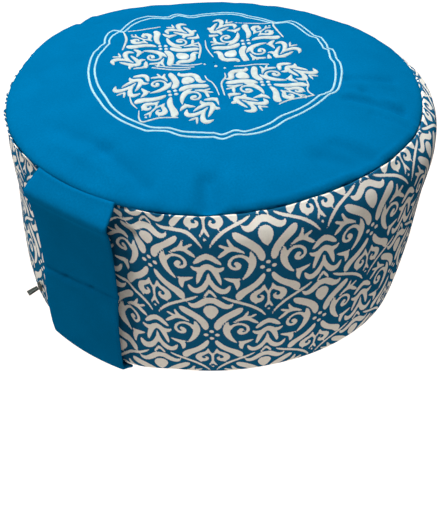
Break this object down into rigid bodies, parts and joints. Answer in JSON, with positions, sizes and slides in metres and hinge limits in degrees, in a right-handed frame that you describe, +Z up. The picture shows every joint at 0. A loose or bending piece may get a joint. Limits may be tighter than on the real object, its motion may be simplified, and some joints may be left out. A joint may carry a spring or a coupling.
{
  "type": "zafu meditation cushion",
  "caption": "Round crowned meditation cushion with a printed side band, embroidered top panel and a wide carrying strap sewn down one side.",
  "frame": {"origin": "centre of the flat base, on the surface that the cushion stands on", "axes": "+Z up through the crown, the carrying strap faces -Y, +X to the right of the strap"},
  "size_m": [0.3333, 0.3364, 0.1809],
  "materials": {
    "plain_cloth": "plain-woven turquoise cotton, matt",
    "printed_cloth": "woven cotton printed with ivory damask scrolls on turquoise, matt",
    "zip_metal": "dark painted metal, satin"
  },
  "bodies": {
    "root": {"top_panel": "plain_cloth", "cushion_body": "printed_cloth", "base_panel": "plain_cloth", "handle_strap": "plain_cloth", "zip_slider": "zip_metal", "zip_pull": "zip_metal"}
  },
  "joints": []
}
